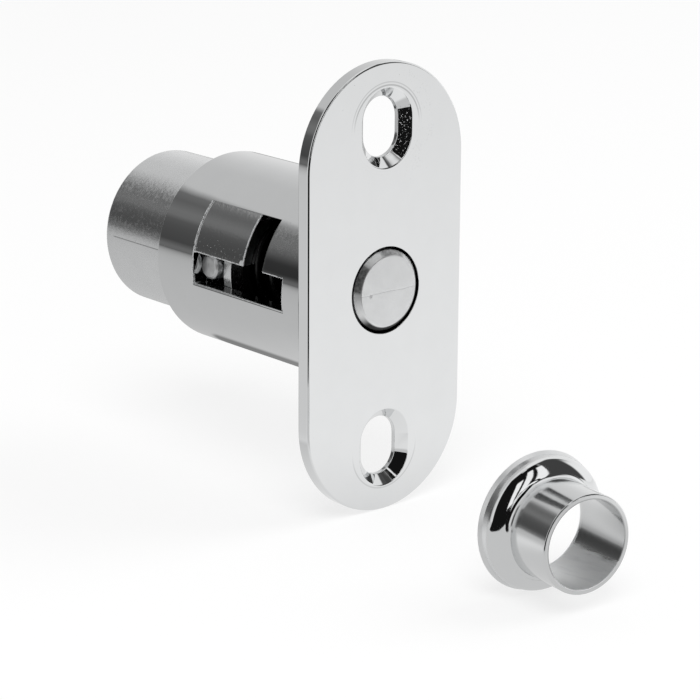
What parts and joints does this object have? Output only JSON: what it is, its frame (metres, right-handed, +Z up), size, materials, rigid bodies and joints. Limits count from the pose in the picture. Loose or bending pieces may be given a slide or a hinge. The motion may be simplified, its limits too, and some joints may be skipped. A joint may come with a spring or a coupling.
{
  "type": "plunger lock",
  "caption": "Push-to-lock plunger lock: slotted oval flange, round housing with latch window, sliding keyed barrel, round bolt, and a loose flanged striker bush.",
  "frame": {"origin": "centre of the bolt hole on the flange's open face", "axes": "+Y along the bolt the way it shoots, -Y towards the key side, +Z up along the flange, +X towards the latch window"},
  "size_m": [0.0226, 0.0762, 0.05],
  "materials": {
    "plated_housing": "mirror-bright nickel-chrome plate on a zinc casting",
    "plated_barrel": "nickel-chrome plate on a slightly rough zinc casting",
    "bolt_metal": "dull as-cast plated bolt",
    "pin_steel": "ground steel pin",
    "spring_steel": "dark oiled spring wire",
    "core_metal": "nickel-plated core",
    "wafer_brass": "stamped brass wafer",
    "bush_metal": "mirror-bright plated bush"
  },
  "bodies": {
    "housing": {"housing": "plated_housing", "striker_bush": "bush_metal", "return_spring": "spring_steel"},
    "plunger": {"plunger_barrel": "plated_barrel"},
    "driver": {"driver_bolt": "bolt_metal", "locking_pin": "pin_steel"},
    "core": {"cylinder_plug": "core_metal", "retaining_spring": "spring_steel", "wafer_spring_1": "spring_steel", "wafer_spring_2": "spring_steel", "wafer_spring_3": "spring_steel", "wafer_spring_4": "spring_steel", "wafer_spring_5": "spring_steel", "wafer_spring_6": "spring_steel"},
    "keeper": {"retaining_wafer": "wafer_brass"},
    "wafer_1": {"wafer_1": "wafer_brass"},
    "wafer_2": {"wafer_2": "wafer_brass"},
    "wafer_3": {"wafer_3": "wafer_brass"},
    "wafer_4": {"wafer_4": "wafer_brass"},
    "wafer_5": {"wafer_5": "wafer_brass"},
    "wafer_6": {"wafer_6": "wafer_brass"}
  },
  "joints": [
    {"name": "plunger_slide", "type": "slide", "parent": "housing", "child": "plunger", "axis": [0, 1, 0], "range_m": [0, 0.0093], "stiffness_N_per_m": 600, "springref_m": -0.01, "deforming": ["return_spring"]},
    {"name": "driver_turn", "type": "hinge", "parent": "plunger", "child": "driver", "pos_m": [0, -0.01845, 0], "axis": [0, 1, 0], "range_deg": [0, 2.8], "stiffness_Nm_per_rad": 0.01, "springref_deg": -45.84},
    {"name": "core_turn", "type": "hinge", "parent": "plunger", "child": "core", "pos_m": [0, -0.0388, 0], "axis": [0, 1, 0], "range_deg": [0, 45]},
    {"name": "keeper_press", "type": "slide", "parent": "core", "child": "keeper", "axis": [0, 0, 1], "range_m": [0, 0.00075], "stiffness_N_per_m": 150, "springref_m": -0.002, "deforming": ["retaining_spring"]},
    {"name": "wafer_1_lift", "type": "slide", "parent": "core", "child": "wafer_1", "axis": [0, 0, -1], "range_m": [-0.0008, 0], "deforming": ["wafer_spring_1"]},
    {"name": "wafer_2_lift", "type": "slide", "parent": "core", "child": "wafer_2", "axis": [0, 0, -1], "range_m": [-0.0008, 0], "deforming": ["wafer_spring_2"]},
    {"name": "wafer_3_lift", "type": "slide", "parent": "core", "child": "wafer_3", "axis": [0, 0, -1], "range_m": [-0.0008, 0], "deforming": ["wafer_spring_3"]},
    {"name": "wafer_4_lift", "type": "slide", "parent": "core", "child": "wafer_4", "axis": [0, 0, -1], "range_m": [-0.0008, 0], "deforming": ["wafer_spring_4"]},
    {"name": "wafer_5_lift", "type": "slide", "parent": "core", "child": "wafer_5", "axis": [0, 0, -1], "range_m": [-0.0008, 0], "deforming": ["wafer_spring_5"]},
    {"name": "wafer_6_lift", "type": "slide", "parent": "core", "child": "wafer_6", "axis": [0, 0, -1], "range_m": [-0.0008, 0], "deforming": ["wafer_spring_6"]}
  ]
}
